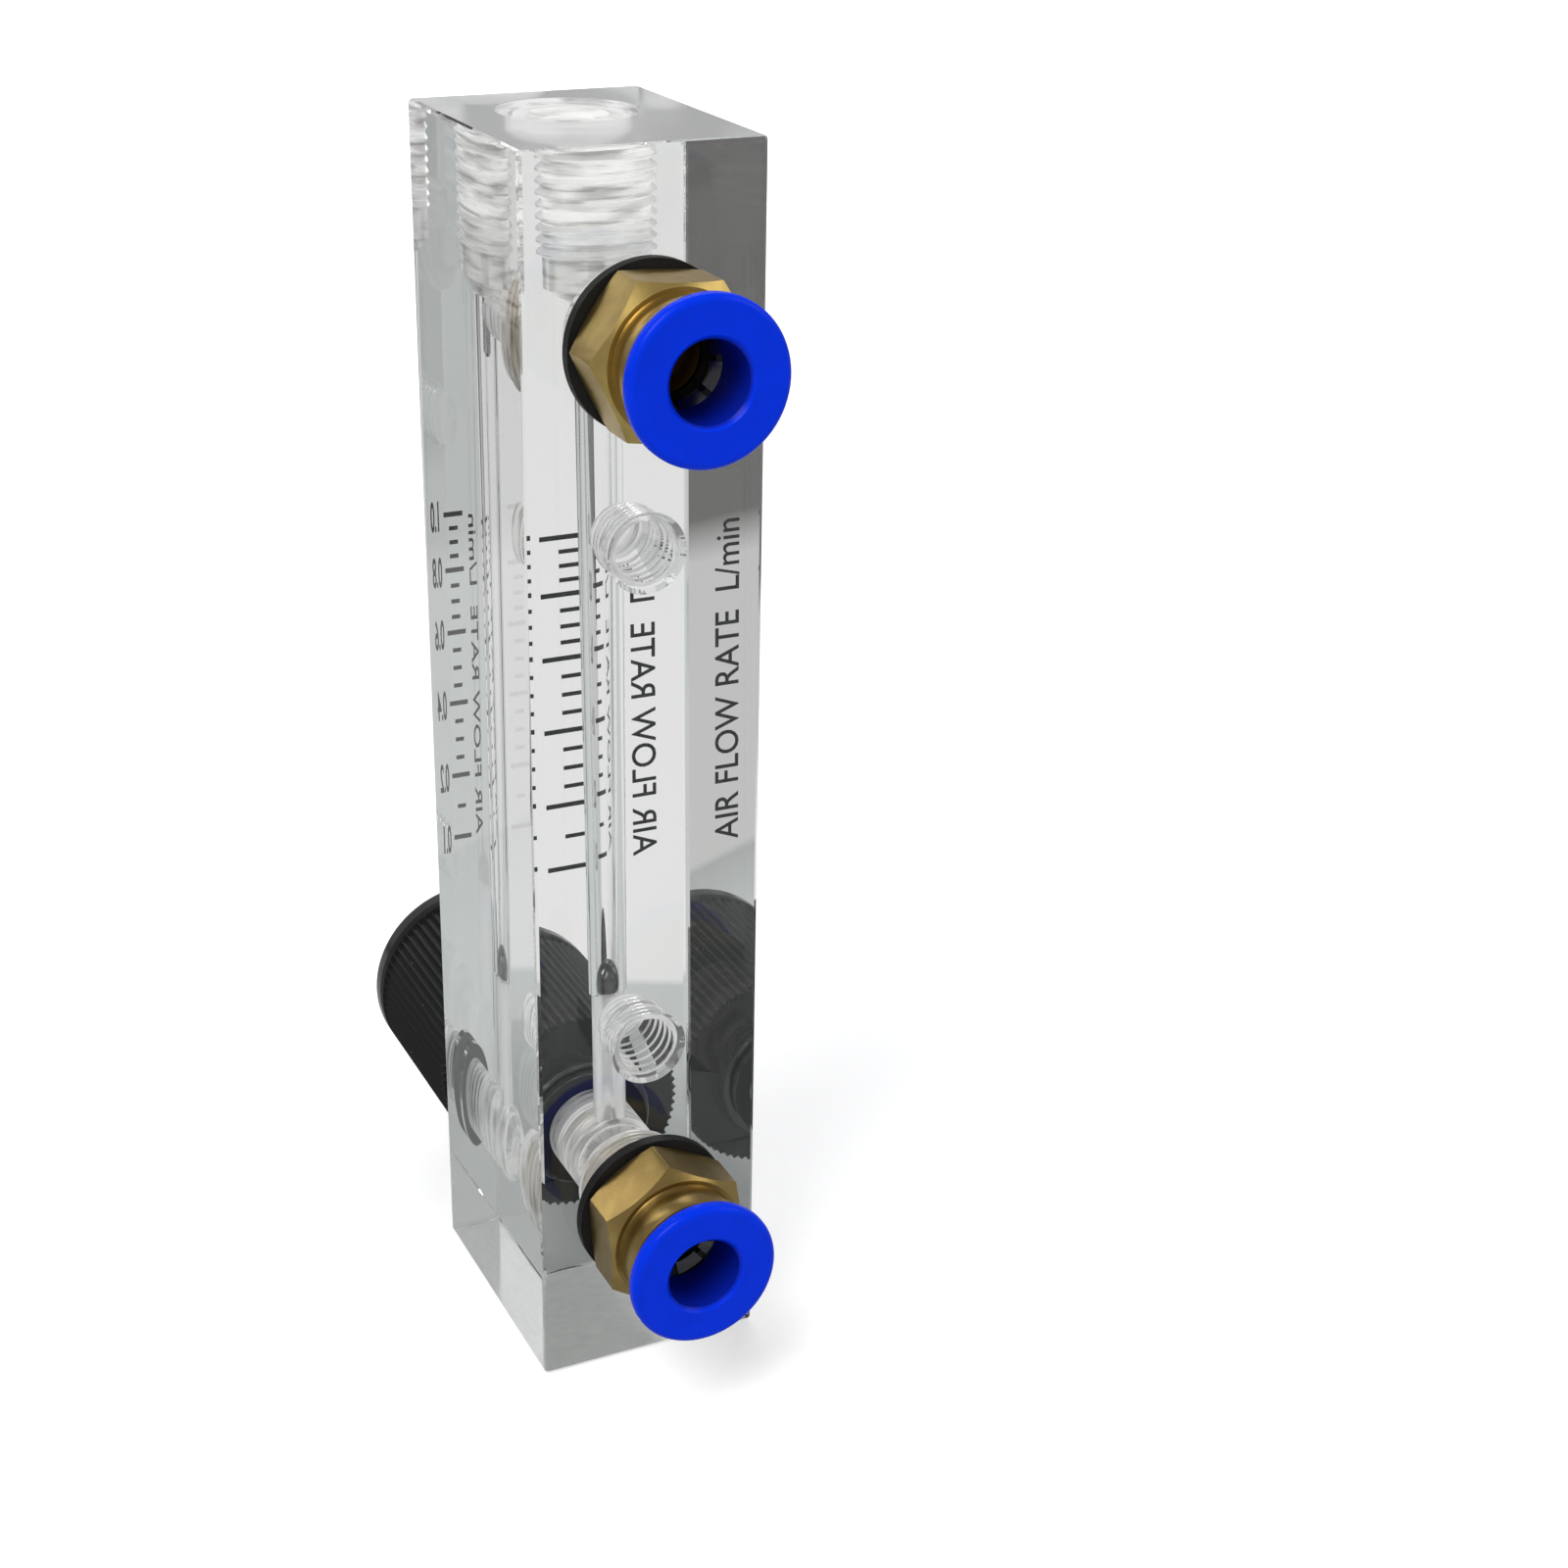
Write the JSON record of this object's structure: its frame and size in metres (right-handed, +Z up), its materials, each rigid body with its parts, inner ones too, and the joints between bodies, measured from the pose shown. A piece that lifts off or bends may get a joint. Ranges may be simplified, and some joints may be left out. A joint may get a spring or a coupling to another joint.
{
  "type": "rotameter",
  "caption": "Rotameter: clear acrylic block with a tapered bore and ball float, a needle valve turned by a fluted knob, and push-in tube fittings at the back.",
  "frame": {"origin": "centre of the block's bottom face", "axes": "+Z up the metering bore, +Y towards the fittings, -Y towards the scale and the knob"},
  "size_m": [0.02, 0.06, 0.106],
  "materials": {
    "clear_acrylic": "polished clear acrylic, drilled walls frosted",
    "float_steel": "polished steel ball",
    "stainless_steel": "turned or stamped stainless steel",
    "bare_brass": "turned brass, unplated",
    "blackened_brass": "turned brass, blackened",
    "black_rubber": "nitrile rubber",
    "black_moulding": "satin moulded plastic",
    "dial_plastic": "satin pale grey plastic",
    "black_ink": "screen-printed ink",
    "grip_seat_plastic": "moulded plastic",
    "blue_plastic": "glossy acetal"
  },
  "bodies": {
    "housing": {"flow_block": "clear_acrylic", "top_plug": "clear_acrylic", "float_stop_pin": "stainless_steel", "valve_bonnet": "blackened_brass", "bonnet_gasket": "black_rubber", "scale_print": "black_ink", "inlet_washer": "black_rubber", "inlet_fitting_body": "bare_brass", "inlet_tube_seal": "black_rubber", "inlet_claw_seat": "grip_seat_plastic", "inlet_grip_ring": "stainless_steel", "inlet_retainer_ring": "bare_brass", "outlet_washer": "black_rubber", "outlet_fitting_body": "bare_brass", "outlet_tube_seal": "black_rubber", "outlet_claw_seat": "grip_seat_plastic", "outlet_grip_ring": "stainless_steel", "outlet_retainer_ring": "bare_brass"},
    "float": {"float_ball": "float_steel"},
    "spindle_ring": {"spindle_seal": "black_rubber"},
    "control": {"needle_spindle": "stainless_steel", "control_knob": "black_moulding", "knob_screw": "stainless_steel", "dial_disc": "dial_plastic"},
    "inlet_release": {"inlet_release_ring": "blue_plastic"},
    "outlet_release": {"outlet_release_ring": "blue_plastic"}
  },
  "joints": [
    {"name": "float_lift", "type": "slide", "parent": "housing", "child": "float", "axis": [0, 0, 1], "range_m": [0, 0.053]},
    {"name": "spindle_travel", "type": "slide", "parent": "housing", "child": "spindle_ring", "axis": [0, -1, 0], "range_m": [0, 0.00337]},
    {"name": "knob_turn", "type": "hinge", "parent": "spindle_ring", "child": "control", "pos_m": [0, -0.0125, 0.015], "axis": [0, -1, 0], "range_deg": [0, 1620]},
    {"name": "inlet_release_press", "type": "slide", "parent": "housing", "child": "inlet_release", "axis": [0, -1, 0], "range_m": [0, 0.0008], "stiffness_N_per_m": 500},
    {"name": "outlet_release_press", "type": "slide", "parent": "housing", "child": "outlet_release", "axis": [0, -1, 0], "range_m": [0, 0.0008], "stiffness_N_per_m": 500}
  ],
  "couplings": [
    {"joint": "spindle_travel", "follows": "knob_turn", "m_per_rad": 0.00011937}
  ]
}
